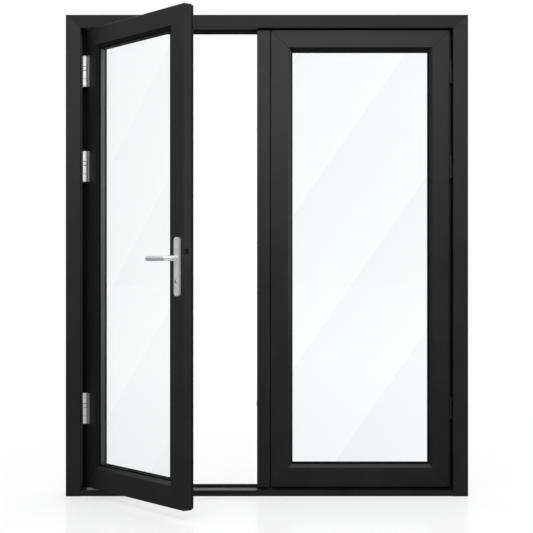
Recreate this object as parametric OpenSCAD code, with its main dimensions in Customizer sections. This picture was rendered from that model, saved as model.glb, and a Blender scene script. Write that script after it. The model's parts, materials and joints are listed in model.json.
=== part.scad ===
// French doors: an outward-opening glazed pair in an aluminium frame with a low sill.
// The left leaf carries the lock and stands part open. The right leaf carries the meeting post.
// The origin is at the middle of the frame's foot, +Z up. The outside of the door faces -Y.

/* [Outer frame] */
// Overall width of the frame
frame_w = 1755; // [1650:5:1855]
// Overall height of the frame
frame_h = 2100; // [2080:5:2200]
// Depth of the frame
frame_d = 80; // [80:1:88]
// Face width of each jamb
jamb_face = 66; // [62:1:70]
// Face height of the head
head_face = 57; // [54:1:62]
// How far the stop stands past the jamb
stop_h = 18; // [16:1:20]
// Height of the sill's front edge
sill_front = 27; // [22:1:27]
// Height of the sill's tread
sill_tread = 30; // [28:1:31]
// Height of the sill's rear upstand
sill_back = 42; // [41:0.5:44]

/* [Leaves] */
// Thickness of each leaf
leaf_t = 50; // [50:1:52]
// Face width of the plain stiles and the top rails
stile_face = 75; // [72:1:80]
// Face width of the lock stile
lock_face = 88; // [80:1:88]
// Face height of the left leaf's bottom rail
left_bottom = 88; // [80:1:92]
// Face height of the right leaf's bottom rail
right_bottom = 84; // [80:1:92]
// How far each leaf's face sits behind the frame's face
leaf_setback = 22; // [22:0.5:23]
// Gap between a leaf and its jamb
side_gap = 12; // [12:0.5:13]
// Gap between a leaf and the head
top_gap = 6; // [5:0.5:8]
// Gap between a leaf and the sill's tread
foot_gap = 8; // [7:0.5:9]
// How far the left leaf stands open, in degrees
open_angle = 52.2; // [0:0.1:105]

/* [Meeting post] */
// Width of the post between the two leaves
post_w = 57; // [54:1:60]
// Distance of the post's centre line from the middle of the frame
post_x = -15; // [-20:1:-10]
// Depth of the post
post_d = 46; // [44:1:47]
// Throw of the shoot bolts
shoot_throw = 20; // [16:1:22]

/* [Glazing] */
// Thickness of each glass pane
pane_t = 4; // [4:1:5]
// Width of the sealed space between the panes
cavity = 20; // [18:1:20]

/* [Hinges] */
// Radius of the left hinges' barrels
barrel_r = 10; // [9:0.5:10]
// Length of the left hinges' barrels
barrel_h = 133; // [120:1:140]
// Height of the lowest hinge's middle
hinge_low = 383; // [350:1:420]
// Height of the middle hinge's middle
hinge_mid = 1439; // [1400:1:1480]
// Height of the top hinge's middle
hinge_top = 1854; // [1800:1:1870]

/* [Lock and handle] */
// Height of the lever's axis
lever_z = 1033; // [1000:1:1060]
// Distance from the lever's axis to the cylinder's axis
cylinder_drop = 92; // [90:1:94]
// Length of the lever from its axis to its tip
lever_l = 140; // [120:1:145]
// Distance of the grip's middle from the leaf's face
grip_out = 55; // [50:1:60]
// Radius of the grip
grip_r = 10.5; // [9:0.5:11]
// Width of the handle's backplate
plate_w = 34; // [32:1:36]
// Height of the handle's backplate
plate_h = 233; // [230:1:240]
// Throw of the dead bolt
dead_throw = 20; // [16:1:20]
// How far the latch stands out
latch_out = 10; // [8:1:10]

/* [Hidden] */
$fn = 48;
black = "#26272a";
silver = "#d0d2d4";
rubber = "#101010";

// Depths below are measured inwards from the frame's front face, or from a leaf's outer face
front_y = -frame_d / 2;
wall = 2;
jamb_x = frame_w / 2 - jamb_face;
head_z = frame_h - head_face;
stop_t = 6;
stop_d = frame_d - stop_t;
head_k = head_face / jamb_face;
stop_z = head_z - stop_h * head_k;
web_d = 38;

// Leaves
leaf_y = front_y + leaf_setback;
leaf_z = sill_tread + foot_gap;
leaf_h = head_z - top_gap - leaf_z;
left_x = -jamb_x + side_gap;
meeting_gap = 4;
post_left = post_x - post_w / 2;
post_right = post_x + post_w / 2;
left_w = post_left - meeting_gap - left_x;
right_x = post_right + meeting_gap + 0.5;
right_w = jamb_x - side_gap - right_x;
left_kb = left_bottom / stile_face;
right_kb = right_bottom / stile_face;
lock_k = lock_face / stile_face;

// A leaf's section: bevelled reveal, glazing rebate, and a seal groove round the edge
reveal_w = 13;
reveal_d = 11;
lip_d = reveal_d + wall;
rebate_u = stile_face - 9;
groove_front = leaf_t - 11;
groove_back = leaf_t - 7;
groove_in = 8;
lip_set = 3;
bead_in = stile_face + 13;

// Glazing, measured from a leaf's edge and its outer face
glass_d = lip_d + wall;
glass_back = glass_d + 2 * pane_t + cavity;
glass_u = rebate_u + 4;
gasket_u = stile_face + 19;
spacer_u = stile_face + 8;
spacer_w = 6;

// Left hinges: the axis stands in front of the leaf's face
left_axis = [left_x + 4.5, front_y + barrel_r + 1];
hinge_heights = [hinge_low, hinge_mid, hinge_top];
pin_r = 4.95;
pin_bore = 5;
knuckle_low = 69;
ring_h = 18;
hinge_gap = 1.5;
flag_t = 5;

// Right hinges: slim ones that stand inside the gap beside the jamb
right_axis = [jamb_x - side_gap / 2, front_y + leaf_setback + 5];
slim_r = 5;
slim_h = 100;
slim_pin_r = 2.45;
slim_bore = 2.5;
slim_plate = 1.8;
slim_front = 3;
slim_back = 33;

// Lock: everything is centred lock_d behind the left leaf's face and backset from its edge
backset = stile_face / 2;
lock_d = 20;
lock_x = left_x + left_w - backset;
edge_x = left_x + left_w;
cylinder_z = lever_z - cylinder_drop;
plate_mid_z = lever_z - 33;
plate_t = 10;
face_w = 20;
face_h = 240;
face_t = 3;
face_mid_z = lever_z - 38;
case_t = 14;
case_low = lever_z - 125;
case_high = lever_z + 51;
case_back = 58;
case_wall = 1.5;
latch_z = lever_z + 27;
latch_h = 20;
latch_in = 36;
latch_flat = 2;
dead_z = lever_z - 48;
dead_h = 34;
dead_stay = 17.5;
bolt_t = 10;
neck_r = 9;
plate_bore = neck_r + 0.05;
plate_play = 0.8;
spindle_w = 8;
spindle_out = 39.5;
spindle_in = 10;
low_grip_r = 6;
low_root_out = 18;
low_tip_out = 45;
hub_r = 9;
screw_z = [lever_z + 69, lever_z - 137];
screw_r = 2.5;
euro_r = 8.5;
euro_tail_w = 10;
euro_tail_h = 24.5;
plug_r = 6.45;
plug_bore = 6.5;
cam_r = 13.5;
cam_t = 9;
cam_w = 6;
screw_drop = 19;
neck_hole = 12;
cylinder_out = 13;

// Shoot bolts run inside the meeting post
shoot_r = 5;
shoot_x = post_x + 10;
shoot_d = leaf_setback + 28;
post_front = leaf_setback + 2;
post_low = sill_tread + 6;
post_high = head_z - 7;
cap_t = 6;
top_thumb_z = 1600;
low_thumb_z = 400;
top_rod_low = 1585;
low_rod_high = 415;

// Screws that hold the frame in its wall
fixing_r = 4;
access_r = 7;
fixing_d = 58;
jamb_fixings = [150, 750, 1350, 1950];
head_fixings = [-450, 450];
sill_fixings = [-500, 500];

// ---- helpers ----

// A section is a list of [distance from the edge, depth] points
function scaled(section, k) = [for (p = section) [p[0] * k, p[1]]];
function turned(section) = [for (p = section) [p[1], p[0]]];

// A hollow bar that stands along +Z
module upright(outline, voids, len) {
    linear_extrude(len) difference() {
        polygon(outline);
        for (v = voids) polygon(v);
    }
}

// A hollow bar that lies along +X, with its edge down
module level(outline, voids, len) {
    rotate([90, 0, 90]) linear_extrude(len) difference() {
        polygon(turned(outline));
        for (v = voids) polygon(turned(v));
    }
}

// A prism through the depth, drawn by its [x, z] outline
module slab(points, y0, y1) {
    translate([0, y1, 0]) rotate([90, 0, 0]) linear_extrude(y1 - y0) polygon(points);
}

module block(low, high) {
    translate(low) cube(high - low);
}

// A round bar along Y from depth y0 to y1
module across(x, z, r, y0, y1) {
    translate([x, y0, z]) rotate([-90, 0, 0]) cylinder(r = r, h = y1 - y0);
}

// Mitred uprights and rails of a w by h rectangle. A bar is wider than its section by a factor:
// kb for the bottom rail, kt for the top rail and ks for the right stile
mitre_reach = 110;

module stile_bar(outline, voids, w, h, kb, kt, right = false, ks = 1) {
    m = mitre_reach;
    translate([right ? w : 0, 0, 0]) mirror([right ? 1 : 0, 0, 0]) intersection() {
        upright(scaled(outline, ks), [for (v = voids) scaled(v, ks)], h);
        slab([[0, 0], [0, h], [m * ks, h - m * kt], [m * ks, m * kb]], -1, frame_d + 1);
    }
}

module rail_bar(outline, voids, w, h, k, top = false, ks = 1) {
    m = mitre_reach;
    translate([0, 0, top ? h : 0]) mirror([0, 0, top ? 1 : 0]) intersection() {
        level(scaled(outline, k), [for (v = voids) scaled(v, k)], w);
        slab([[0, 0], [m, m * k], [w - m * ks, m * k], [w, 0]], -1, frame_d + 1);
    }
}

// A rectangular loop set in from the edges of a w by h rectangle
module loop(w, h, u0, u1, kb, ks, d0, d1) {
    difference() {
        block([u0, d0, u0 * kb], [w - u0 * ks, d1, h - u0]);
        block([u1, d0 - 1, u1 * kb], [w - u1 * ks, d1 + 1, h - u1]);
    }
}

module at_frame() {
    translate([-frame_w / 2, front_y, 0]) children();
}

module at_left_closed() {
    translate([left_x, leaf_y, leaf_z]) children();
}

module at_right() {
    translate([right_x, leaf_y, leaf_z]) children();
}

// Turns what is modelled closed about the left hinges
module opened() {
    translate([left_axis[0], left_axis[1], 0]) rotate([0, 0, -open_angle])
        translate([-left_axis[0], -left_axis[1], 0]) children();
}

module left_leaf() {
    opened() at_left_closed() children();
}

// ---- frame ----

edge_w = 5;
edge_d = 3;
frame_outline = [
    [0, edge_d], [edge_w, 0], [jamb_face - 2, 0], [jamb_face, 2], [jamb_face, stop_d],
    [jamb_face + stop_h, stop_d], [jamb_face + stop_h, frame_d], [0, frame_d]
];
frame_voids = [
    [[wall, edge_d + 2], [edge_w + 2, wall], [jamb_face - 3, wall], [jamb_face - wall, 3],
        [jamb_face - wall, web_d - wall], [wall, web_d - wall]],
    [[wall, web_d], [jamb_face - wall, web_d], [jamb_face - wall, frame_d - wall], [wall, frame_d - wall]]
];

module jamb(right) {
    difference() {
        at_frame() stile_bar(frame_outline, frame_voids, frame_w, frame_h, 0, head_k, right);
        for (z = jamb_fixings) mirror([right ? 1 : 0, 0, 0]) translate([-frame_w / 2, front_y + fixing_d, z])
            rotate([0, 90, 0]) {
                translate([0, 0, -1]) cylinder(r = fixing_r, h = 2 * wall + 1);
                translate([0, 0, jamb_face - 2 * wall]) cylinder(r = access_r, h = 3 * wall);
            }
    }
}

module frame_jamb_left() {
    color(black) jamb(false);
}

module frame_jamb_right() {
    color(black) jamb(true);
}

module frame_head() {
    color(black) difference() {
        at_frame() rail_bar(frame_outline, frame_voids, frame_w, frame_h, head_k, true);
        translate([shoot_x, front_y + shoot_d, head_z - 1]) cylinder(r = shoot_r + 0.5, h = 2 * wall + 1);
        for (x = head_fixings) translate([x, front_y + fixing_d, 0]) {
            translate([0, 0, frame_h - 2 * wall]) cylinder(r = fixing_r, h = 2 * wall + 1);
            translate([0, 0, head_z - wall]) cylinder(r = access_r, h = 3 * wall);
        }
    }
}

// [height, depth] points: a low nose, a tread that falls outwards, and an upstand behind the leaves
sill_toe = 6;
sill_lift = 2;
sill_wall = 3;
tread_start = 28;
sill_web = 38;
sill_outline = [
    [0, sill_toe], [sill_lift, sill_toe], [sill_lift, 0], [sill_front, 0], [sill_tread, tread_start],
    [sill_tread, stop_d], [sill_back, stop_d], [sill_back, frame_d], [0, frame_d]
];
sill_voids = [
    [[sill_wall, sill_toe + sill_wall], [sill_lift + sill_wall, sill_toe + sill_wall],
        [sill_lift + sill_wall, sill_wall], [sill_front - sill_wall, sill_wall],
        [sill_tread - sill_wall, tread_start], [sill_tread - sill_wall, sill_web], [sill_wall, sill_web]],
    [[sill_wall, sill_web + sill_wall], [sill_tread - sill_wall, sill_web + sill_wall],
        [sill_tread - sill_wall, stop_d - sill_wall], [sill_wall, stop_d - sill_wall]]
];

module frame_sill() {
    color(black) difference() {
        translate([-jamb_x, front_y, 0]) level(sill_outline, sill_voids, 2 * jamb_x);
        for (s = [0, 1]) mirror([s, 0, 0])
            block([jamb_x - stop_h, front_y + stop_d, -1], [jamb_x + 1, -front_y + 1, sill_back + 1]);
        translate([shoot_x, front_y + shoot_d, sill_tread - sill_wall - 1])
            cylinder(r = shoot_r + 0.5, h = sill_wall + 2);
        for (x = sill_fixings) translate([x, front_y + fixing_d, 0]) {
            translate([0, 0, -1]) cylinder(r = fixing_r, h = sill_wall + 2);
            translate([0, 0, sill_tread - sill_wall - 1]) cylinder(r = access_r, h = sill_wall + 2);
        }
    }
}

// Angle cleats inside the two mitres of the frame
module frame_corner_cleats() {
    cleat_l = 130;
    u0 = 10;
    u1 = jamb_face - 6;
    color("#9a9ca0") for (s = [0, 1]) mirror([s, 0, 0]) at_frame()
        slab([[u0, frame_h - u0 * head_k], [cleat_l, frame_h - u0 * head_k], [cleat_l, frame_h - u1 * head_k],
            [u1, frame_h - u1 * head_k], [u1, frame_h - cleat_l], [u0, frame_h - cleat_l]], 6, web_d - 6);
}

// The seal that both leaves close against, in the corner of the stops
seal_t = 1.6;
seal_w = 4;

module frame_stop_seal() {
    y0 = front_y + stop_d - seal_t;
    y1 = front_y + stop_d;
    x1 = jamb_x - stop_h;
    color(rubber) {
        for (s = [0, 1]) mirror([s, 0, 0])
            block([x1, y0, sill_back + 0.5], [x1 + seal_w, y1, stop_z + seal_w]);
        block([-x1, y0, stop_z], [x1, y1, stop_z + seal_w]);
        block([-x1, y0, sill_back - seal_w], [x1, y1, sill_back]);
    }
}

// ---- leaves ----

leaf_outline = [
    [0, 1], [1, 0], [stile_face, 0], [stile_face + reveal_w, reveal_d], [stile_face + reveal_w, lip_d],
    [rebate_u, lip_d], [rebate_u, leaf_t], [lip_set, leaf_t], [lip_set, groove_back],
    [groove_in, groove_back], [groove_in, groove_front], [0, groove_front]
];
leaf_voids = [
    [[wall, 3], [3, wall], [rebate_u - wall, wall], [rebate_u - wall, leaf_t - wall],
        [lip_set + wall, leaf_t - wall], [lip_set + wall, groove_back + wall],
        [groove_in + wall, groove_back + wall],
        [groove_in + wall, groove_front - wall], [wall, groove_front - wall]],
    [[rebate_u, wall], [stile_face - 0.8, wall], [stile_face + 7, 9.2], [stile_face + 7, reveal_d],
        [rebate_u, reveal_d]]
];

module leaf_stile(w, kb, ks, right) {
    stile_bar(leaf_outline, leaf_voids, w, leaf_h, kb, 1, right, right ? ks : 1);
}

module leaf_rail(w, kb, ks, top) {
    rail_bar(leaf_outline, leaf_voids, w, leaf_h, top ? 1 : kb, top, ks);
}

module leaf_beads(w, kb, ks) {
    loop(w, leaf_h, rebate_u, bead_in, kb, ks, glass_back + wall, leaf_t);
}

// Angle cleats inside the four mitres of a leaf
module leaf_cleats(w, kb) {
    cleat_l = 120;
    u0 = 14;
    u1 = 58;
    for (s = [0, 1]) translate([s * w, 0, 0]) mirror([s, 0, 0]) {
        slab([[u0, leaf_h - u0], [cleat_l, leaf_h - u0], [cleat_l, leaf_h - u1], [u1, leaf_h - u1],
            [u1, leaf_h - cleat_l], [u0, leaf_h - cleat_l]], 5, groove_front - 5);
        slab([[u0, u0 * kb], [cleat_l, u0 * kb], [cleat_l, u1 * kb], [u1, u1 * kb],
            [u1, cleat_l], [u0, cleat_l]], 5, groove_front - 5);
    }
}

module pane(w, kb, ks, inner) {
    d = inner ? glass_d + pane_t + cavity : glass_d;
    block([glass_u, d, glass_u * kb], [w - glass_u * ks, d + pane_t, leaf_h - glass_u]);
}

module spacer(w, kb, ks) {
    loop(w, leaf_h, spacer_u, spacer_u + spacer_w, kb, ks, glass_d + pane_t, glass_d + pane_t + cavity);
}

module gasket_outer(w, kb, ks) {
    loop(w, leaf_h, stile_face - 1, gasket_u, kb, ks, lip_d, glass_d);
}

module gasket_inner(w, kb, ks) {
    loop(w, leaf_h, stile_face - 1, gasket_u, kb, ks, glass_back, glass_back + wall);
}

// Blocks that centre the glass in its rebate: two below, two above and two at each side
module setting_blocks(w, kb, ks) {
    block_l = 100;
    from_end = 180;
    for (x = [from_end, w - from_end - block_l]) {
        block([x, glass_d, rebate_u * kb], [x + block_l, glass_back, glass_u * kb]);
        block([x, glass_d, leaf_h - glass_u], [x + block_l, glass_back, leaf_h - rebate_u]);
    }
    for (z = [from_end, leaf_h - from_end - block_l]) {
        block([rebate_u, glass_d, z], [glass_u, glass_back, z + block_l]);
        block([w - glass_u * ks, glass_d, z], [w - rebate_u * ks, glass_back, z + block_l]);
    }
}

module left_leaf_hinge_stile() {
    color(black) left_leaf() leaf_stile(left_w, left_kb, lock_k, false);
}

// Cut-outs for the lock, drawn in the closed place
module euro_hole(y0, y1, extra) {
    across(lock_x, cylinder_z, euro_r + extra, y0, y1);
    block([lock_x - euro_tail_w / 2 - extra, y0, cylinder_z - euro_tail_h - extra],
        [lock_x + euro_tail_w / 2 + extra, y1, cylinder_z]);
}

module left_leaf_lock_stile() {
    y1 = leaf_y + leaf_t + 1;
    color(black) opened() difference() {
        at_left_closed() leaf_stile(left_w, left_kb, lock_k, true);
        block([edge_x - wall - 0.5, leaf_y + lock_d - face_w / 2, face_mid_z - face_h / 2],
            [edge_x + 1, leaf_y + lock_d + face_w / 2, face_mid_z + face_h / 2]);
        across(lock_x, lever_z, neck_hole, leaf_y - 1, y1);
        euro_hole(leaf_y - 1, y1, 0.6);
        for (z = screw_z) across(lock_x, z, screw_r + 0.5, leaf_y - 1, y1);
    }
}

module left_leaf_top_rail() {
    color(black) left_leaf() leaf_rail(left_w, left_kb, lock_k, true);
}

module left_leaf_bottom_rail() {
    color(black) left_leaf() leaf_rail(left_w, left_kb, lock_k, false);
}

module left_leaf_corner_cleats() {
    color("#9a9ca0") left_leaf() leaf_cleats(left_w, left_kb);
}

module left_pane_outer() {
    color("#dfe9ee", 0.35) left_leaf() pane(left_w, left_kb, lock_k, false);
}

module left_pane_inner() {
    color("#dfe9ee", 0.35) left_leaf() pane(left_w, left_kb, lock_k, true);
}

module left_pane_spacer() {
    color(silver) left_leaf() spacer(left_w, left_kb, lock_k);
}

module left_gasket_outer() {
    color(rubber) left_leaf() gasket_outer(left_w, left_kb, lock_k);
}

module left_gasket_inner() {
    color(rubber) left_leaf() gasket_inner(left_w, left_kb, lock_k);
}

module left_glazing_beads() {
    color(black) left_leaf() leaf_beads(left_w, left_kb, lock_k);
}

module left_setting_blocks() {
    color("#3a5d8a") left_leaf() setting_blocks(left_w, left_kb, lock_k);
}

// The brush seal in the groove of the lock edge
module left_edge_seal() {
    color(rubber) left_leaf()
        block([left_w - groove_in, groove_front, 30], [left_w + 1.5, groove_back, leaf_h - 30]);
}

module right_leaf_meeting_stile() {
    color(black) at_right() leaf_stile(right_w, right_kb, 1, false);
}

module right_leaf_hinge_stile() {
    color(black) at_right() leaf_stile(right_w, right_kb, 1, true);
}

module right_leaf_top_rail() {
    color(black) at_right() leaf_rail(right_w, right_kb, 1, true);
}

module right_leaf_bottom_rail() {
    color(black) at_right() leaf_rail(right_w, right_kb, 1, false);
}

module right_leaf_corner_cleats() {
    color("#9a9ca0") at_right() leaf_cleats(right_w, right_kb);
}

module right_pane_outer() {
    color("#dfe9ee", 0.35) at_right() pane(right_w, right_kb, 1, false);
}

module right_pane_inner() {
    color("#dfe9ee", 0.35) at_right() pane(right_w, right_kb, 1, true);
}

module right_pane_spacer() {
    color(silver) at_right() spacer(right_w, right_kb, 1);
}

module right_gasket_outer() {
    color(rubber) at_right() gasket_outer(right_w, right_kb, 1);
}

module right_gasket_inner() {
    color(rubber) at_right() gasket_inner(right_w, right_kb, 1);
}

module right_glazing_beads() {
    color(black) at_right() leaf_beads(right_w, right_kb, 1);
}

module right_setting_blocks() {
    color("#3a5d8a") at_right() setting_blocks(right_w, right_kb, 1);
}

// ---- left hinges: a frame knuckle below, an adjusting ring, and a leaf knuckle above ----

module each_hinge(heights, length) {
    for (z = heights) translate([0, 0, z - length / 2]) children();
}

knuckle_high = barrel_h - knuckle_low - ring_h - 2 * hinge_gap;
knuckle_high_z = knuckle_low + ring_h + 2 * hinge_gap;
flag_low = leaf_setback - flag_t;
flag_w = 16;
arm_t = 12;
jamb_plate_t = 4;
jamb_plate_front = 5;
jamb_plate_back = 62;
pin_foot = 4;

module left_hinge_frame_flags() {
    ax = left_axis[0];
    ay = left_axis[1];
    color(silver) each_hinge(hinge_heights, barrel_h) difference() {
        union() {
            translate([ax, ay, 0]) cylinder(r = barrel_r, h = knuckle_low);
            block([-jamb_x, ay - arm_t / 2, 0], [ax - pin_bore - 1, ay + arm_t / 2, knuckle_low]);
            block([-jamb_x, front_y + jamb_plate_front, 0],
                [-jamb_x + jamb_plate_t, front_y + jamb_plate_back, barrel_h]);
        }
        translate([ax, ay, pin_foot]) cylinder(r = pin_bore, h = barrel_h);
    }
}

module left_hinge_pins() {
    color("#b8babd") each_hinge(hinge_heights, barrel_h)
        translate([left_axis[0], left_axis[1], pin_foot]) cylinder(r = pin_r, h = barrel_h - pin_foot - 5);
}

module left_hinge_rings() {
    color(silver) each_hinge(hinge_heights, barrel_h)
        translate([left_axis[0], left_axis[1], knuckle_low + hinge_gap]) difference() {
            cylinder(r = barrel_r - 0.4, h = ring_h);
            translate([0, 0, -1]) cylinder(r = pin_bore, h = ring_h + 2);
        }
}

module left_hinge_leaf_flags() {
    ax = left_axis[0];
    ay = left_axis[1];
    color(silver) opened() each_hinge(hinge_heights, barrel_h) difference() {
        union() {
            translate([ax, ay, knuckle_high_z]) cylinder(r = barrel_r, h = knuckle_high);
            block([ax + pin_bore + 1, ay, knuckle_high_z], [ax + barrel_r + 2, leaf_y, barrel_h]);
            block([ax + barrel_r + 1, front_y + flag_low, 0], [ax + barrel_r + 1 + flag_w, leaf_y, barrel_h]);
        }
        translate([ax, ay, knuckle_high_z - 1]) cylinder(r = pin_bore, h = knuckle_high - 3);
    }
}

// ---- right hinges: plates on the jamb and on the leaf's edge, with knuckles in the gap between ----

module slim_flag(z0, z1, jamb_side) {
    ax = right_axis[0];
    ay = right_axis[1];
    x0 = jamb_side ? jamb_x - slim_plate : jamb_x - side_gap;
    difference() {
        union() {
            block([x0, ay + slim_r + 1, 0], [x0 + slim_plate, ay + slim_back, slim_h]);
            block([x0, ay - slim_front, z0], [x0 + slim_plate, ay + slim_r + 2, z1]);
            translate([ax, ay, z0]) cylinder(r = slim_r, h = z1 - z0);
        }
        translate([ax, ay, -1]) cylinder(r = slim_bore, h = slim_h + 2);
    }
}

module right_hinge_frame_flags() {
    color(black) each_hinge(hinge_heights, slim_h) slim_flag(0, slim_h / 2 - 0.5, true);
}

module right_hinge_leaf_flags() {
    color(black) each_hinge(hinge_heights, slim_h) slim_flag(slim_h / 2 + 0.5, slim_h, false);
}

module right_hinge_pins() {
    color("#b8babd") each_hinge(hinge_heights, slim_h)
        translate([right_axis[0], right_axis[1], 0]) cylinder(r = slim_pin_r, h = slim_h);
}

// ---- meeting post and shoot bolts ----

post_chamfer = 1;
post_web_front = 16;
post_web_back = 32;

module meeting_post() {
    y0 = front_y + post_front;
    y1 = y0 + post_d;
    c = post_chamfer;
    color(black) difference() {
        translate([0, 0, post_low + cap_t]) linear_extrude(post_high - post_low - 2 * cap_t) difference() {
            polygon([[post_left, y0 + c], [post_left + c, y0], [post_right - c, y0], [post_right, y0 + c],
                [post_right, y0 + post_web_front], [right_x, y0 + post_web_front],
                [right_x, y0 + post_web_back], [post_right, y0 + post_web_back],
                [post_right, y1], [post_left, y1]]);
            polygon([[post_left + wall, y0 + wall + 1], [post_left + wall + 1, y0 + wall],
                [post_right - wall, y0 + wall], [post_right - wall, y1 - wall],
                [post_left + wall, y1 - wall]]);
        }
        // recess for the strike plate
        block([post_left - 1, leaf_y + lock_d - face_w / 2, face_mid_z - face_h / 2],
            [post_left + wall + 0.5, leaf_y + lock_d + face_w / 2, face_mid_z + face_h / 2]);
        // slots for the thumb slides
        thumb_slot(top_thumb_z, 0, shoot_throw);
        thumb_slot(low_thumb_z, -shoot_throw, 0);
    }
}

thumb_h = 20;
thumb_w = 8;
thumb_out = 2;

module thumb_slot(z, down, up) {
    block([post_left - 1, front_y + shoot_d - thumb_w / 2 - 0.5, z - thumb_h / 2 + down - 1],
        [post_left + wall + 1, front_y + shoot_d + thumb_w / 2 + 0.5, z + thumb_h / 2 + up + 1]);
}

module meeting_post_caps() {
    y0 = front_y + post_front;
    color(black) for (z = [post_low, post_high - cap_t]) difference() {
        block([post_left, y0, z], [post_right, y0 + post_d, z + cap_t]);
        translate([shoot_x, front_y + shoot_d, z - 1]) cylinder(r = shoot_r + 0.05, h = cap_t + 2);
    }
}

module strike_plate() {
    y0 = leaf_y + lock_d - face_w / 2;
    color("#3a3b3d") difference() {
        block([post_left, y0, face_mid_z - face_h / 2],
            [post_left + wall, y0 + face_w, face_mid_z + face_h / 2]);
        block([post_left - 1, y0 + 3.5, latch_z - latch_h / 2 - 2],
            [post_left + wall + 1, y0 + face_w - 3.5, latch_z + latch_h / 2 + 2]);
        block([post_left - 1, y0 + 3.5, dead_z - dead_h / 2 - 2],
            [post_left + wall + 1, y0 + face_w - 3.5, dead_z + dead_h / 2 + 2]);
    }
}

// A round rod, shown drawn back, with an arm to the slide that a thumb pushes
module shoot_bolt(low, high, thumb_z) {
    y = front_y + shoot_d;
    color("#b8babd") union() {
        translate([shoot_x, y, low]) cylinder(r = shoot_r, h = high - low);
        block([post_left - thumb_out, y - thumb_w / 2, thumb_z - thumb_h / 2],
            [shoot_x, y + thumb_w / 2, thumb_z + thumb_h / 2]);
    }
}

module top_shoot_bolt() {
    shoot_bolt(top_rod_low, post_high, top_thumb_z);
}

module bottom_shoot_bolt() {
    shoot_bolt(post_low, low_rod_high, low_thumb_z);
}

// ---- lock ----

lock_y0 = leaf_y + lock_d - case_t / 2;
lock_y1 = leaf_y + lock_d + case_t / 2;

module lock_case() {
    w = case_wall;
    x0 = edge_x - case_back;
    x1 = edge_x - face_t;
    color("#a8aaad") opened() difference() {
        block([x0, lock_y0, case_low], [x1, lock_y1, case_high]);
        block([x0 + w, lock_y0 + w, case_low + w], [x1 + 1, lock_y1 - w, case_high - w]);
        across(lock_x, lever_z, hub_r + 0.3, lock_y0 - 1, lock_y1 + 1);
        euro_hole(lock_y0 - 1, lock_y1 + 1, 0.3);
    }
}

module lock_faceplate() {
    y0 = leaf_y + lock_d - face_w / 2;
    slot_y0 = leaf_y + lock_d - bolt_t / 2 - 0.3;
    slot_y1 = leaf_y + lock_d + bolt_t / 2 + 0.3;
    color("#3a3b3d") opened() difference() {
        block([edge_x - face_t, y0, face_mid_z - face_h / 2], [edge_x, y0 + face_w, face_mid_z + face_h / 2]);
        block([edge_x - face_t - 1, slot_y0, latch_z - latch_h / 2 - 0.3],
            [edge_x + 1, slot_y1, latch_z + latch_h / 2 + 0.3]);
        block([edge_x - face_t - 1, slot_y0, dead_z - dead_h / 2 - 0.3],
            [edge_x + 1, slot_y1, dead_z + dead_h / 2 + 0.3]);
    }
}

// A sprung latch whose nose slopes towards the side that meets the post first
module latch_bolt() {
    y0 = leaf_y + lock_d - bolt_t / 2;
    y1 = y0 + bolt_t;
    color("#55575a") opened() translate([0, 0, latch_z - latch_h / 2]) linear_extrude(latch_h)
        polygon([[edge_x - latch_in, y0], [edge_x + latch_out, y0], [edge_x + latch_out, y0 + latch_flat],
            [edge_x + 0.5, y1], [edge_x - latch_in, y1]]);
}

module dead_bolt() {
    y0 = leaf_y + lock_d - bolt_t / 2;
    color("#55575a") opened()
        block([edge_x - 0.5 - dead_stay - dead_throw, y0, dead_z - dead_h / 2],
            [edge_x - 0.5, y0 + bolt_t, dead_z + dead_h / 2]);
}

cylinder_y0 = leaf_y - cylinder_out;
cylinder_y1 = leaf_y + leaf_t + cylinder_out;
cam_y0 = leaf_y + lock_d - cam_t / 2;
cam_y1 = leaf_y + lock_d + cam_t / 2;

// A profile cylinder, cut away at its middle for the cam that throws the bolt
module cylinder_body() {
    color(silver) opened() difference() {
        euro_hole(cylinder_y0, cylinder_y1, 0);
        across(lock_x, cylinder_z, plug_bore, cylinder_y0 - 1, cylinder_y1 + 1);
        across(lock_x, cylinder_z, cam_r + 0.7, cam_y0 - 0.5, cam_y1 + 0.5);
        translate([lock_x, leaf_y + lock_d, cylinder_z - screw_drop]) rotate([0, 90, 0])
            cylinder(r = screw_r, h = euro_tail_w + 2, center = true);
    }
}

module cylinder_plug() {
    y0 = cylinder_y0 - 0.5;
    y1 = cylinder_y1 + 0.5;
    key_w = 2;
    key_h = 8;
    key_deep = 12;
    color("#c3b98f") opened() difference() {
        union() {
            across(lock_x, cylinder_z, plug_r, y0, y1);
            across(lock_x, cylinder_z, euro_r - 0.3, cam_y0, cam_y1);
            block([lock_x - cam_w / 2, cam_y0, cylinder_z],
                [lock_x + cam_w / 2, cam_y1, cylinder_z + cam_r - 0.4]);
        }
        for (y = [y0 - 1, y1 + 1 - key_deep])
            block([lock_x - key_w / 2, y, cylinder_z - key_h / 2],
                [lock_x + key_w / 2, y + key_deep, cylinder_z + key_h / 2]);
    }
}

// The long screw that holds the cylinder, from the faceplate
module cylinder_screw() {
    color("#8c8e90") opened() translate([edge_x - face_t, leaf_y + lock_d, cylinder_z - screw_drop])
        rotate([0, -90, 0]) cylinder(r = screw_r - 0.1, h = backset + 4 - face_t);
}

// ---- handles ----

plate_round = 14;

// A bar with rounded corners, drawn about its own middle
module round_bar(w, h, r) {
    square([w - 2 * r, h], center = true);
    square([w, h - 2 * r], center = true);
    for (x = [-1, 1]) for (z = [-1, 1]) translate([x * (w / 2 - r), z * (h / 2 - r)]) circle(r = r);
}

module handle_plate(y0, y1) {
    difference() {
        translate([lock_x, y1, plate_mid_z]) rotate([90, 0, 0]) linear_extrude(y1 - y0)
            round_bar(plate_w, plate_h, plate_round);
        across(lock_x, lever_z, plate_bore, y0 - 1, y1 + 1);
        euro_hole(y0 - 1, y1 + 1, plate_play);
    }
}

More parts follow.
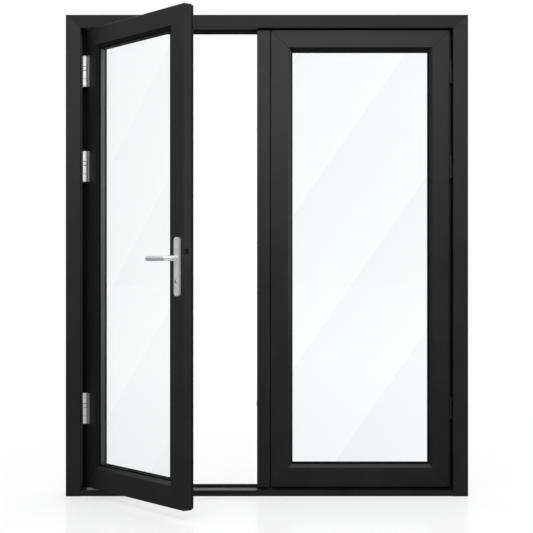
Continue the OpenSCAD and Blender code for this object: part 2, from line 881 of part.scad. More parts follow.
module handle_plate_outer() {
    color(silver) opened() difference() {
        handle_plate(leaf_y - plate_t, leaf_y);
        for (z = screw_z) across(lock_x, z, screw_r, leaf_y - plate_t + 3, leaf_y + 1);
    }
}

module handle_plate_inner() {
    y = leaf_y + leaf_t;
    color(silver) opened() difference() {
        handle_plate(y, y + plate_t);
        for (z = screw_z) {
            across(lock_x, z, screw_r, y - 1, y + plate_t + 1);
            across(lock_x, z, screw_r + 2.2, y + plate_t - 3, y + plate_t + 1);
        }
    }
}

// Two long screws that draw the plates together through the stile
module handle_screws() {
    color("#8c8e90") opened() for (z = screw_z) {
        across(lock_x, z, screw_r - 0.1, leaf_y - plate_t + 3.5, leaf_y + leaf_t + plate_t - 3);
        across(lock_x, z, screw_r + 2, leaf_y + leaf_t + plate_t - 3, leaf_y + leaf_t + plate_t - 0.5);
    }
}

// The outside lever: a neck out of the plate, a round bend, and a straight grip towards the hinges
module lever_outer() {
    grip_y = leaf_y - grip_out;
    color(silver) opened() difference() {
        union() {
            across(lock_x, lever_z, neck_r, grip_y, leaf_y - 2);
            translate([lock_x, grip_y, lever_z]) {
                sphere(r = grip_r);
                rotate([0, -90, 0]) cylinder(r = grip_r, h = lever_l - grip_r);
                translate([grip_r - lever_l, 0, 0]) sphere(r = grip_r);
            }
        }
        spindle_bar(leaf_y - spindle_out - 0.5, leaf_y, 0.05);
    }
}

// The inside lever is a low one that climbs from its plate towards the hinges
module lever_inner() {
    y = leaf_y + leaf_t;
    run = lever_l - low_grip_r;
    climb = atan((low_tip_out - low_root_out) / run);
    color(silver) opened() difference() {
        union() {
            across(lock_x, lever_z, neck_r, y + 2, y + low_root_out - 2);
            translate([lock_x - 2, y + low_root_out, lever_z]) rotate([0, 0, -climb]) {
                sphere(r = low_grip_r);
                rotate([0, -90, 0]) cylinder(r = low_grip_r, h = run);
                translate([-run, 0, 0]) sphere(r = low_grip_r);
            }
        }
        spindle_bar(y, y + spindle_in + 0.5, 0.05);
    }
}

// The square bar that joins the levers, with play all round for a socket
module spindle_bar(y0, y1, play) {
    h = spindle_w / 2 + play;
    block([lock_x - h, y0, lever_z - h], [lock_x + h, y1, lever_z + h]);
}

module spindle() {
    color("#8c8e90") opened() spindle_bar(leaf_y - spindle_out, leaf_y + leaf_t + spindle_in, 0);
}

// The hub inside the lock case that the spindle turns
module lock_hub() {
    y0 = lock_y0 - 0.5;
    y1 = lock_y1 + 0.5;
    color("#c8b070") opened() difference() {
        across(lock_x, lever_z, hub_r, y0, y1);
        spindle_bar(y0 - 1, y1 + 1, 0.05);
    }
}

frame_head();
frame_jamb_left();
frame_jamb_right();
frame_sill();
frame_corner_cleats();
frame_stop_seal();
left_hinge_frame_flags();
left_hinge_pins();
left_hinge_rings();
left_hinge_leaf_flags();
right_hinge_frame_flags();
right_hinge_pins();
right_hinge_leaf_flags();
left_leaf_hinge_stile();
left_leaf_lock_stile();
left_leaf_top_rail();
left_leaf_bottom_rail();
left_leaf_corner_cleats();
left_pane_outer();
left_pane_inner();
left_pane_spacer();
left_gasket_outer();
left_gasket_inner();
left_glazing_beads();
left_setting_blocks();
left_edge_seal();
right_leaf_meeting_stile();
right_leaf_hinge_stile();
right_leaf_top_rail();
right_leaf_bottom_rail();
right_leaf_corner_cleats();
right_pane_outer();
right_pane_inner();
right_pane_spacer();
right_gasket_outer();
right_gasket_inner();
right_glazing_beads();
right_setting_blocks();
meeting_post();
meeting_post_caps();
strike_plate();
top_shoot_bolt();
bottom_shoot_bolt();
lock_case();
lock_faceplate();
latch_bolt();
dead_bolt();
cylinder_body();
cylinder_plug();
cylinder_screw();
handle_plate_outer();
handle_plate_inner();
handle_screws();
lever_outer();
lever_inner();
spindle();
lock_hub();
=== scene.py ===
import json
import math

import bpy
from mathutils import Matrix, Vector


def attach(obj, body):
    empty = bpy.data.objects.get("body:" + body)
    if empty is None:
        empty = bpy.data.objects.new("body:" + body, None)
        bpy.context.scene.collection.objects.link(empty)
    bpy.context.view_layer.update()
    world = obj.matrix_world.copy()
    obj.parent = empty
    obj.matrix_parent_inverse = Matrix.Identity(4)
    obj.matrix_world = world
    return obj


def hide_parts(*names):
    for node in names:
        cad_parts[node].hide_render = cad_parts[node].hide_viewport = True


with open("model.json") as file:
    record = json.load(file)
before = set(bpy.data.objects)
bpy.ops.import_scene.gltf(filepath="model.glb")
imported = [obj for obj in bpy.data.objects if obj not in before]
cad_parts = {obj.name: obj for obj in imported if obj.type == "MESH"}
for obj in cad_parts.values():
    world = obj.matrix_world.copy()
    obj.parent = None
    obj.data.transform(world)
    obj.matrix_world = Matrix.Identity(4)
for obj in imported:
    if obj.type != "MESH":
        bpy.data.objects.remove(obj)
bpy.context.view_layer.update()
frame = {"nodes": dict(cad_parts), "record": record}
record = frame["record"]
cadNodes = frame["nodes"]
slotOf = {part["node"]: part["material_slot"] for part in record["subparts"]}
bodyOf = {node: body for body, members in record["behaviour"]["bodies"].items() for node in members}
print("model loaded:", len(cadNodes), "nodes")

leafPlace = {  # the left leaf's hinges and lock while it is shut, in metres, and how far it stands open
    "hinge": (-0.795, -0.029),
    "hingeHeights": (0.383, 1.439, 1.854),
    "openBy": math.radians(-52.2),
    "face": -0.018,
    "back": 0.032,
    "edge": -0.0475,
    "lockX": -0.085,
    "leverZ": 1.033,
}
hingeFoot = Vector((*leafPlace["hinge"], 0))
leafWay = Vector((math.cos(leafPlace["openBy"]), math.sin(leafPlace["openBy"]), 0))
quarter = math.pi / 2
cleaning = {  # how near corners are merged, and the angles that count as flat, as an edge and as smooth
    "merge": 0.00001, "mergeCopy": 0.000002,
    "flat": math.radians(0.4), "edge": math.radians(30), "smooth": math.radians(40),
}


# selecting and shaping

def onlySelect(piece):
    if bpy.context.object and bpy.context.object.mode != "OBJECT":
        bpy.ops.object.mode_set(mode="OBJECT")
    bpy.ops.object.select_all(action="DESELECT")
    piece.select_set(True)
    bpy.context.view_layer.objects.active = piece


def edit(piece, kind="VERT", pick="DESELECT"):
    onlySelect(piece)
    bpy.ops.object.mode_set(mode="EDIT")
    bpy.ops.mesh.select_mode(type=kind)
    bpy.ops.mesh.select_all(action=pick)


def done():
    bpy.ops.object.mode_set(mode="OBJECT")


def backToEdit(kind):  # keeps what was selected in code
    bpy.ops.object.mode_set(mode="EDIT")
    bpy.ops.mesh.select_mode(type=kind)


def pickFaces(piece, test):  # selects the faces whose middle and normal pass the test
    edit(piece, "FACE")
    done()
    for face in piece.data.polygons:
        face.select = bool(test(face.center, face.normal))
    backToEdit("FACE")


def pickCorners(piece, test):  # selects the corners whose place passes the test
    edit(piece, "VERT")
    done()
    for corner in piece.data.vertices:
        corner.select = bool(test(corner.co))
    backToEdit("VERT")


def added(name):  # the primitive just added, with its place moved into its mesh
    piece = bpy.context.object
    piece.name = name
    piece.data.name = name
    bpy.ops.object.transform_apply(location=True, rotation=True, scale=True)
    return piece


def disc(name, radius, corners, place=(0, 0, 0), turn=(0, 0, 0)):  # a round face, selected, to be drawn out
    bpy.ops.object.select_all(action="DESELECT")
    bpy.ops.mesh.primitive_circle_add(vertices=corners, radius=radius, fill_type="NGON",
                                      location=place, rotation=turn)
    piece = added(name)
    edit(piece, "FACE", "SELECT")
    return piece


def drawOut(step, spread=None, centre=None):  # extrudes what is selected, then widens or narrows its end
    bpy.ops.mesh.extrude_region_move(TRANSFORM_OT_translate={"value": step})
    if spread is not None:
        bpy.ops.transform.resize(value=spread, center_override=centre)


def applied(piece, kind, **settings):
    onlySelect(piece)
    step = piece.modifiers.new(kind.title(), kind)
    for key, value in settings.items():
        setattr(step, key, value)
    bpy.ops.object.modifier_apply(modifier=step.name)


def smoothed(piece, angle=cleaning["smooth"]):
    onlySelect(piece)
    bpy.ops.object.shade_smooth_by_angle(angle=angle)


def faceOut(piece):
    edit(piece, pick="SELECT")
    bpy.ops.mesh.remove_doubles(threshold=cleaning["merge"])
    bpy.ops.mesh.normals_make_consistent(inside=False)
    done()


def twin(piece, name):  # a copy with its own mesh
    copy = bpy.data.objects.new(name, piece.data.copy())
    copy.data.name = name
    bpy.context.scene.collection.objects.link(copy)
    return copy


def joined(pieces, name):  # several pieces as one
    onlySelect(pieces[0])
    for piece in pieces:
        piece.select_set(True)
    bpy.ops.object.join()
    pieces[0].name = name
    return pieces[0]


def openLeaf(piece):  # turns a piece made on the shut leaf to where the leaf stands
    turn = Matrix.Rotation(leafPlace["openBy"], 4, "Z")
    piece.data.transform(Matrix.Translation(hingeFoot) @ turn @ Matrix.Translation(-hingeFoot))


def alongLeaf(spot):  # how far a place on the open leaf is from the hinge axis, along the leaf
    return (spot - hingeFoot).dot(leafWay)


def slid(piece, look):  # moves the corners that lie between two distances from the hinge
    pickCorners(piece, lambda spot: look["from"] < alongLeaf(spot) < look["to"])
    bpy.ops.transform.translate(value=leafWay * look["by"])
    done()


def painted(piece, finish, test):  # a second finish, on the faces whose middle and normal pass the test
    piece.data.materials.append(finish)
    for face in piece.data.polygons:
        face.material_index = int(test(face.center, face.normal))


def finished(piece, finish, slot, body, *nodes):  # its finish, and what it stands for and rides on
    piece.data.materials.clear()
    piece.data.materials.append(finish)
    if nodes:
        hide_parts(*nodes)
    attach(piece, body)
    return piece


# shader maths and the nodes that finishes share

class Wire:
    def __init__(self, tree, socket=None):
        self.tree = tree
        self.socket = socket

    def place(self, kind, settings=None, sockets=None, out=0):  # any node: its settings, then its sockets
        node = self.tree.nodes.new(kind)
        for key, value in (settings or {}).items():
            setattr(node, key, value)
        for key, value in (sockets or {}).items():
            if isinstance(value, Wire):
                self.tree.links.new(value.socket, node.inputs[key])
            else:
                node.inputs[key].default_value = value
        return Wire(self.tree, node.outputs[out] if node.outputs else None)

    def maths(self, work, first, second):
        return self.place("ShaderNodeMath", {"operation": work}, {0: first, 1: second})

    def __add__(self, other):
        return self.maths("ADD", self, other)

    __radd__ = __add__

    def __sub__(self, other):
        return self.maths("SUBTRACT", self, other)

    def __rsub__(self, other):
        return self.maths("SUBTRACT", other, self)

    def __mul__(self, other):
        return self.maths("MULTIPLY", self, other)

    __rmul__ = __mul__

    def __truediv__(self, other):
        return self.maths("DIVIDE", self, other)

    def __pow__(self, other):
        return self.maths("POWER", self, other)

    def fraction(self):  # what is left above the whole number
        return self.maths("FRACT", self, 0)

    def axes(self):  # the three parts of a place or a direction
        split = self.place("ShaderNodeSeparateXYZ", {}, {0: self}).socket.node
        return [Wire(self.tree, part) for part in split.outputs]

    def between(self, low, high):  # 0 below low, 1 above high, soft between
        return self.place("ShaderNodeMapRange", {"interpolation_type": "SMOOTHSTEP"},
                          {"Value": self, "From Min": low, "From Max": high})

    def blend(self, first, second):  # a colour between two, by this value
        return self.place("ShaderNodeMix", {"data_type": "RGBA"}, {0: self, 6: first, 7: second}, 2)


def newFinish(name):
    finish = bpy.data.materials.new(name)
    finish.use_nodes = True
    finish.node_tree.nodes.clear()
    start = Wire(finish.node_tree)
    return finish, start, start.place("ShaderNodeTexCoord", out=3)


def stretched(place, scale):
    return place.place("ShaderNodeMapping", {}, {"Vector": place, "Scale": scale})


def noise(place, scale, detail, rough=0.5):
    return place.place("ShaderNodeTexNoise", {},
                       {"Vector": place, "Scale": scale, "Detail": detail, "Roughness": rough})


def bump(height, strength, distance):
    return height.place("ShaderNodeBump", {}, {"Height": height, "Strength": strength, "Distance": distance})


def output(start, surface):  # ends a finish
    start.place("ShaderNodeOutputMaterial", {}, {"Surface": surface})


def solid(start, sockets):  # an opaque surface, straight to the output
    output(start, start.place("ShaderNodeBsdfPrincipled", {}, sockets))


coatLook = {
    "dark": (0.0052, 0.0053, 0.0055, 1), "light": (0.0074, 0.0075, 0.0077, 1),
    "grain": (1500, 2.0, 0.6), "cloud": (7.0, 3.0), "tones": (0.3, 0.7),
    "rough": 0.38, "cloudy": 0.10, "grainy": 0.08, "ior": 1.38, "relief": (0.22, 0.00012),
}
steelCoat = {
    **coatLook, "dark": (0.0062, 0.0063, 0.0065, 1), "light": (0.0086, 0.0087, 0.0089, 1),
    "grain": (700, 2.0, 0.6), "rough": 0.34, "ior": 1.40,
}
# a darker, rougher copy of the coat, for painted deep shade
shadePaintedLook = {**coatLook, "light": (0.0056, 0.0057, 0.0059, 1), "rough": 0.52, "ior": 1.16}
# a dimmer copy of the coat, for bars painted as taking less light
dimPaintedLook = {**coatLook, "light": (0.0060, 0.0061, 0.0063, 1), "rough": 0.42, "ior": 1.31}


def makeCoat(name, look):  # satin powder coat: fine grain, with cloudy patches in its sheen
    finish, start, place = newFinish(name)
    grain = noise(place, *look["grain"])
    cloud = noise(place, *look["cloud"])
    rough = look["rough"] + look["cloudy"] * (cloud - 0.5) + look["grainy"] * (grain - 0.5)
    solid(start, {
        "Base Color": cloud.between(*look["tones"]).blend(look["dark"], look["light"]),
        "Roughness": rough, "IOR": look["ior"], "Normal": bump(grain, *look["relief"])})
    return finish


silverLook = {
    "dark": (0.62, 0.625, 0.63, 1), "light": (0.74, 0.745, 0.75, 1), "rough": 0.30, "metal": 0.5,
    "lines": (1100, 1100, 16), "streaks": (1.0, 3.0, 0.65), "cloud": (22.0, 2.0), "tones": (0.25, 0.75),
    "streaky": 0.6, "grain": 0.14, "cloudy": 0.06, "scratch": 0.7, "deep": 0.00006,
}
leverLook = {
    **silverLook, "dark": (0.76, 0.765, 0.77, 1), "light": (0.88, 0.885, 0.89, 1),
    "rough": 0.34, "metal": 0.8, "lines": (1100, 1100, 1100), "grain": 0.03,
}
# a darker copy of the satin silver, painted shade for the hinge leaf flags
shadedFlagLook = {**silverLook, "dark": (0.17, 0.172, 0.176, 1), "light": (0.24, 0.242, 0.246, 1), "rough": 0.36}


def makeSilver(name, look):  # satin silver with fine lines along one way
    finish, start, place = newFinish(name)
    brushed = noise(stretched(place, look["lines"]), *look["streaks"])
    cloud = noise(place, *look["cloud"])
    mixed = look["streaky"] * brushed + (1 - look["streaky"]) * cloud
    rough = look["rough"] + look["grain"] * (brushed - 0.5) + look["cloudy"] * (cloud - 0.5)
    solid(start, {
        "Base Color": mixed.between(*look["tones"]).blend(look["dark"], look["light"]),
        "Metallic": look["metal"], "Roughness": rough,
        "Normal": bump(brushed, look["grain"] * look["scratch"], look["deep"])})
    return finish


zincLook = {
    "dark": (0.46, 0.47, 0.48, 1), "light": (0.60, 0.61, 0.62, 1), "rough": 0.30,
    "mottle": (240.0, 4.0, 0.6), "tones": (0.3, 0.7), "uneven": 0.2, "relief": (0.12, 0.00008),
}
brassLook = {**zincLook, "dark": (0.60, 0.56, 0.46, 1), "light": (0.72, 0.68, 0.58, 1), "rough": 0.28}
cleatLook = {**zincLook, "dark": (0.40, 0.41, 0.42, 1), "light": (0.52, 0.53, 0.54, 1), "rough": 0.45}


def makeSteel(name, look):  # plated, turned or cast metal with a little mottle
    finish, start, place = newFinish(name)
    mottle = noise(place, *look["mottle"])
    solid(start, {
        "Base Color": mottle.between(*look["tones"]).blend(look["dark"], look["light"]),
        "Metallic": 1.0, "Roughness": look["rough"] + look["uneven"] * (mottle - 0.5),
        "Normal": bump(mottle, *look["relief"])})
    return finish


rubberLook = {
    "clean": (0.003, 0.003, 0.003, 1), "dusty": (0.007, 0.007, 0.007, 1),
    "bloom": (60.0, 4.0, 0.6), "grain": (2200.0, 1.0), "tones": (0.35, 0.8),
    "rough": 0.72, "uneven": 0.16, "sheen": 0.05, "relief": (0.3, 0.0001),
}


def makeRubber(name, look):  # matt rubber with a dusty bloom
    finish, start, place = newFinish(name)
    bloom = noise(place, *look["bloom"])
    grain = noise(place, *look["grain"])
    solid(start, {
        "Base Color": bloom.between(*look["tones"]).blend(look["clean"], look["dusty"]),
        "Roughness": look["rough"] + look["uneven"] * (bloom - 0.5),
        "Specular IOR Level": look["sheen"], "Normal": bump(grain, *look["relief"])})
    return finish


spacerLook = {
    "bar": (0.135, 0.135, 0.134, 1), "slot": (0.05, 0.050, 0.050, 1), "lines": (900, 900, 20),
    "streaks": (1.0, 2.0), "slotty": 0.35, "streaky": 0.3, "perMetre": 160.0,
    "slotFrom": (0.42, 0.5), "slotTo": (0.62, 0.7), "metal": 0.8, "rough": 0.34, "uneven": 0.15,
    "relief": (0.3, 0.0003),
}


def makeSpacer(name, look):  # spacer bar with a row of fine breathing slots
    finish, start, place = newFinish(name)
    pitch = (place.axes()[2] * look["perMetre"]).fraction()
    slots = pitch.between(*look["slotFrom"]) * (1 - pitch.between(*look["slotTo"]))
    lines = noise(stretched(place, look["lines"]), *look["streaks"])
    solid(start, {
        "Base Color": (look["slotty"] * slots + look["streaky"] * lines).blend(look["bar"], look["slot"]),
        "Metallic": look["metal"], "Roughness": look["rough"] + look["uneven"] * (lines - 0.5),
        "Normal": bump(1 - slots, *look["relief"])})
    return finish


# painted reflection: the film colour is a matt tone that stands in for the studio mirrored in the glass
rightPane = {
    "tint": (0.9875, 0.9900, 0.9915, 1), "film": (0.36, 0.40, 0.42, 1), "evenReflection": 0.002, "reflectedBands": 0.020,
    "shine": (0.93, 0.97, 1.0, 1), "rough": 0.05, "gloss": 0.0005, "sheen": 0.5, "edgeOn": 4.0,
}
# the two leaves' panes are one glass; their tints differ as painted light and shade, and the left's stripes
# are weaker
leftPane = {**rightPane, "tint": (0.9955, 0.9990, 1.0, 1), "reflectedBands": 0.012}
rightReflectionBands = {"slope": 1.44, "start": 1.064, "pitch": 0.676}
leftReflectionBands = {"slope": 1.65, "start": 2.538, "pitch": 0.53}


def makeGlass(name, look, reflectedBands):  # clear glass, a touch blue, with painted reflection: faint slanting stripes and an even share of a matt tone
    finish, start, place = newFinish(name)
    across, _, height = place.axes()
    band = ((across * reflectedBands["slope"] - height + reflectedBands["start"]) / reflectedBands["pitch"]).fraction()
    through = start.place("ShaderNodeBsdfTransparent", {}, {"Color": look["tint"]})
    film = start.place("ShaderNodeBsdfDiffuse", {}, {"Color": look["film"]})
    # how much of the painted reflection shows: an even share, plus the slanting stripes
    reflectionShare = look["evenReflection"] + look["reflectedBands"] * (1 - band)
    withReflection = start.place("ShaderNodeMixShader", {}, {0: reflectionShare, 1: through, 2: film})
    facing = start.place("ShaderNodeLayerWeight", {}, {"Blend": 0.5}, 1)
    shine = start.place("ShaderNodeBsdfAnisotropic", {}, {"Color": look["shine"], "Roughness": look["rough"]})
    glossy = look["gloss"] + look["sheen"] * facing ** look["edgeOn"]
    output(start, start.place("ShaderNodeMixShader", {}, {0: glossy, 1: withReflection, 2: shine}))
    return finish


blockLook = {
    "dark": (0.03, 0.09, 0.22, 1), "light": (0.04, 0.12, 0.27, 1),
    "flow": (90.0, 2.0), "tones": (0.3, 0.7), "rough": 0.45, "uneven": 0.1,
}


def makeBlock(name, look):  # moulded plastic packing blocks
    finish, start, place = newFinish(name)
    flow = noise(place, *look["flow"])
    solid(start, {
        "Base Color": flow.between(*look["tones"]).blend(look["dark"], look["light"]),
        "Roughness": look["rough"] + look["uneven"] * (flow - 0.5)})
    return finish


finishes = {
    "black_frame": makeCoat("blackCoat", coatLook),
    "silver_hardware": makeSilver("satinSilver", silverLook),
    "steel": makeSteel("zincSteel", zincLook),
    "black_steel": makeCoat("blackSteel", steelCoat),
    "brass": makeSteel("plugBrass", brassLook),
    "glass": makeGlass("rightGlass", rightPane, rightReflectionBands),
    "spacer": makeSpacer("spacerBar", spacerLook),
    "rubber": makeRubber("sealRubber", rubberLook),
    "cleat": makeSteel("castCleat", cleatLook),
    "block": makeBlock("packingBlock", blockLook),
}
leverSilver = makeSilver("leverSilver", leverLook)
shadedFlagSilver = makeSilver("shadedFlagSilver", shadedFlagLook)
# darker copies of the black coat, for painted shade
shadePaintedCoat = makeCoat("shadePaintedCoat", shadePaintedLook)
dimPaintedCoat = makeCoat("dimPaintedCoat", dimPaintedLook)
leftGlass = makeGlass("leftGlass", leftPane, leftReflectionBands)
ownFinish = {  # nodes that differ from the rest of their slot; the pins show dark between the knuckles
    "left_pane_outer": leftGlass, "left_pane_inner": leftGlass, "left_hinge_pins": finishes["black_steel"],
}
for node, piece in cadNodes.items():
    piece.data.materials.clear()
    piece.data.materials.append(ownFinish.get(node, finishes[slotOf[node]]))
print("finishes made")


# bars, seals and fittings with their true edges

edges = {  # softened edge of each piece, in metres, and its number of steps
    "frame_head": (0.0007, 2), "frame_jamb_left": (0.0007, 2),
    "frame_jamb_right": (0.0007, 2), "frame_sill": (0.0008, 3),
    "left_leaf_hinge_stile": (0.0008, 2), "left_leaf_lock_stile": (0.0008, 2),
    "left_leaf_top_rail": (0.0008, 2), "left_leaf_bottom_rail": (0.0008, 2),
    "right_leaf_hinge_stile": (0.0008, 2), "right_leaf_meeting_stile": (0.0008, 2),
    "right_leaf_top_rail": (0.0008, 2), "right_leaf_bottom_rail": (0.0008, 2),
    "left_glazing_beads": (0.0006, 2), "right_glazing_beads": (0.0006, 2),
    "meeting_post": (0.0006, 2), "meeting_post_caps": (0.0008, 3),
    "left_gasket_outer": (0.0007, 3), "left_gasket_inner": (0.0007, 3),
    "right_gasket_outer": (0.0007, 3), "right_gasket_inner": (0.0007, 3),
    "frame_stop_seal": (0.0007, 3), "left_edge_seal": (0.0012, 3),
    "left_hinge_frame_flags": (0.0007, 3), "left_hinge_leaf_flags": (0.0007, 3),
    "left_hinge_rings": (0.0018, 3),
    "right_hinge_frame_flags": (0.0004, 2), "right_hinge_leaf_flags": (0.0004, 2),
    "lock_faceplate": (0.0006, 2), "strike_plate": (0.0005, 2),
    "latch_bolt": (0.0008, 3), "dead_bolt": (0.001, 3),
    "handle_plate_outer": (0.0022, 4), "handle_plate_inner": (0.0022, 4),
    "cylinder_body": (0.0005, 2), "cylinder_plug": (0.0004, 2),
    "top_shoot_bolt": (0.0006, 2), "bottom_shoot_bolt": (0.0006, 2), "handle_screws": (0.0004, 2),
}
barNames = {
    "frame_head": "headBar", "frame_jamb_left": "leftJambBar", "frame_jamb_right": "rightJambBar",
    "frame_sill": "sillBar",
}


def soften(node, width, steps):  # a copy of a CAD node with its edges rounded
    piece = twin(cadNodes[node], barNames.get(node, node + "_finished"))
    edit(piece, pick="SELECT")
    bpy.ops.mesh.remove_doubles(threshold=cleaning["mergeCopy"])
    bpy.ops.mesh.dissolve_limited(angle_limit=cleaning["flat"])
    done()
    applied(piece, "BEVEL", width=width, segments=steps, limit_method="ANGLE", angle_limit=cleaning["edge"])
    smoothed(piece)
    applied(piece, "WEIGHTED_NORMAL", weight=100, keep_sharp=True)
    return finished(piece, finishes[slotOf[node]], slotOf[node], bodyOf[node], node)


softened = {node: soften(node, width, steps) for node, (width, steps) in edges.items()}
print("bars and fittings softened")

gasketLap = {"from": 0.628, "to": 0.645, "by": -0.0055}  # it laps further over the glass by the lock
slid(softened["left_gasket_outer"], gasketLap)

# painted shade: some faces stand in deep shade, and the head and the left hinge stile take less light than
# the other bars
shade = {"turned": 0.3, "front": 0.9, "behind": -0.035, "topRun": 1.9}


def inTheRebate(middle, out):  # the jamb's inner side and its stop, beside the open leaf
    return out.x > shade["turned"] or (out.y < -shade["turned"] and middle.y > shade["behind"])


def besideHinges(middle, out):  # the open leaf's glazing reveal by its hinges
    return out.y < -shade["front"]


def underTopRail(middle, out):  # a glazing reveal that looks down and outwards
    return out.z < -shade["turned"] and out.y < -shade["turned"]


shadedFaces = {
    "frame_jamb_left": inTheRebate, "left_leaf_hinge_stile": besideHinges,
    "left_leaf_top_rail": underTopRail, "right_leaf_top_rail": underTopRail,
}
# the shaded faces take the darker copy of the coat as painted shade
for node, test in shadedFaces.items():
    painted(softened[node], shadePaintedCoat, test)
# painted shade: the head and the left hinge stile take the dimmer copy of the coat
for node in ("frame_head", "left_leaf_hinge_stile"):
    softened[node].data.materials[0] = dimPaintedCoat
# painted shade on the left spacer's top run, where it would mirror the bright floor
painted(cadNodes["left_pane_spacer"], shadePaintedCoat, lambda middle, out: middle.z > shade["topRun"])

# the left hinges: rings with a joint beside them, and narrower leaf flags
# painted shade: a darker silver on the leaf flags, and the frame's black coat on the frame flags' arms
hingeRing = {"above": 0.013, "reach": 0.02, "squash": 0.90}
leafFlag = {"from": 0.024, "to": 0.1, "by": -0.0045, "plate": 0.0112}
frameFlag = {"barrel": 0.0104}
groove = {"radius": 0.01008, "tall": 0.0014, "below": 0.0335, "corners": 48}

for height in leafPlace["hingeHeights"]:
    ringZ = height + hingeRing["above"]
    pickCorners(softened["left_hinge_rings"], lambda spot: abs(spot.z - ringZ) < hingeRing["reach"])
    bpy.ops.transform.resize(value=(1, 1, hingeRing["squash"]), center_override=(0, 0, ringZ))
    done()
slid(softened["left_hinge_leaf_flags"], leafFlag)
# painted shade: the leaf flags' faces away from the barrel take the darker silver
painted(softened["left_hinge_leaf_flags"], shadedFlagSilver,
        lambda middle, out: alongLeaf(middle) > leafFlag["plate"])
# painted shade: the frame flags' arms, beyond the barrel, take the frame's black coat, dark as the gap they
# stand in
painted(softened["left_hinge_frame_flags"], finishes["black_frame"],
        lambda middle, out: (middle - hingeFoot).xy.length > frameFlag["barrel"])
for k, height in enumerate(leafPlace["hingeHeights"]):  # the fine joint in the lower knuckle
    band = disc(f"knuckleJoint{k}", groove["radius"], groove["corners"],
                (*leafPlace["hinge"], height - groove["below"]))
    drawOut((0, 0, groove["tall"]))
    done()
    faceOut(band)
    smoothed(band)
    finished(band, finishes["black_steel"], "black_steel", "frame")
print("shaded faces and hinges finished")


# fine dark seams where the bars meet

seamLook = {"wide": 0.0013, "deep": 0.0009, "under": 0.00002, "shorter": 0.004, "taper": 0.6}
mitred = {  # where each bar's outer side stands, and how far its inner side is from it
    "head": {"sides": {"Left": (-0.8775, 0.066), "Right": (0.8775, -0.066)},
             "ends": {"": (2.100, -0.057)}, "face": -0.040, "body": "frame"},
    "left": {"sides": {"Hinge": (-0.7995, 0.075), "Lock": (-0.0475, -0.088)},
             "ends": {"Top": (2.037, -0.075), "Foot": (0.038, 0.088)}, "face": -0.018, "body": "left_leaf"},
    "right": {"sides": {"Hinge": (0.7995, -0.075), "Meeting": (0.018, 0.075)},
              "ends": {"Top": (2.037, -0.075), "Foot": (0.038, 0.084)}, "face": -0.018, "body": "right_leaf"},
}


def seamPiece(name, outer, inner, look):  # a thin strip in the groove between two bars
    way = inner - outer
    bpy.ops.object.select_all(action="DESELECT")
    bpy.ops.mesh.primitive_plane_add(size=1, rotation=(quarter, 0, 0))
    seam = added(name)
    edit(seam, "FACE", "SELECT")
    bpy.ops.transform.resize(value=(way.length - look["shorter"], 1, look["wide"]), center_override=(0, 0, 0))
    drawOut((0, look["deep"], 0), (1, 1, look["taper"]), (0, 0, 0))
    done()
    middle = (outer + inner) / 2 + Vector((0, look["under"], 0))
    tilt = Matrix.Rotation(-math.atan2(way.z, way.x), 4, "Y")
    seam.data.transform(Matrix.Translation(middle) @ tilt)
    faceOut(seam)
    return seam


for rim, look in mitred.items():
    for end, (z, rail) in look["ends"].items():
        for side, (x, stile) in look["sides"].items():
            outer = Vector((x, look["face"], z))
            seam = seamPiece(rim + end + side + "Seam", outer, outer + Vector((stile, 0, rail)), seamLook)
            if look["body"] == "left_leaf":
                openLeaf(seam)
            finished(seam, finishes["rubber"], "rubber", look["body"])
print("seams laid")


# lever handles

outerLever = {
    "neck": 0.009, "grip": 0.0110, "collar": 0.0115, "reach": 0.055, "bend": 0.0125, "length": 0.140,
    "end": 0.004, "root": 0.008, "lip": 0.0008, "lipIn": 0.93, "elbowSteps": 12, "tipSteps": 6, "corners": 48,
}


def outerLeverPiece(look):  # a round bar: out of the plate, round a tight elbow, then along the leaf
    x, z = leafPlace["lockX"], leafPlace["leverZ"]
    rootY = leafPlace["face"] - look["root"]
    lipY = leafPlace["face"] - look["collar"]
    gripY = leafPlace["face"] - look["reach"]
    elbowX, elbowY = x - look["bend"], gripY + look["bend"]
    endX = x - look["length"]
    lever = disc("outerLever", look["neck"], look["corners"], (x, rootY, z), (quarter, 0, 0))
    drawOut((0, lipY - rootY, 0))
    swell = look["lipIn"] * look["grip"] / look["neck"]
    drawOut((0, 0, 0), (swell, 1, swell), (x, lipY, z))
    drawOut((0, -look["lip"], 0), (1 / look["lipIn"], 1, 1 / look["lipIn"]), (x, lipY, z))
    drawOut((0, elbowY - lipY + look["lip"], 0))
    bpy.ops.mesh.spin(steps=look["elbowSteps"], angle=quarter, center=(elbowX, elbowY, z), axis=(0, 0, 1))
    drawOut((endX + look["end"] - elbowX, 0, 0))
    flat = look["grip"] - look["end"]
    for k in range(look["tipSteps"]):  # a rounded tip
        last, turn = (quarter * m / look["tipSteps"] for m in (k, k + 1))
        step = look["end"] * (math.sin(turn) - math.sin(last))
        narrow = (flat + look["end"] * math.cos(turn)) / (flat + look["end"] * math.cos(last))
        drawOut((-step, 0, 0), (1, narrow, narrow), (endX, gripY, z))
    done()
    faceOut(lever)
    smoothed(lever)
    openLeaf(lever)
    return lever


finished(outerLeverPiece(outerLever), leverSilver, "silver_hardware", "lever", "lever_outer")

innerLever = {
    "neck": 0.009, "grip": 0.006, "root": 0.018, "tip": 0.045, "length": 0.140, "inPlate": 0.008,
    "neckSteps": ((0.0065, 1.0), (0.0025, 0.92), (0.0015, 0.80)), "nose": 0.3, "past": 0.95, "behind": 0.002,
    "neckCorners": 48, "barCorners": 40,
    "noseTurns": (35, 55, 75, 90), "runSteps": (0.25, 0.5, 0.75, 1.0), "tipTurns": (20, 40, 60, 76, 86),
}


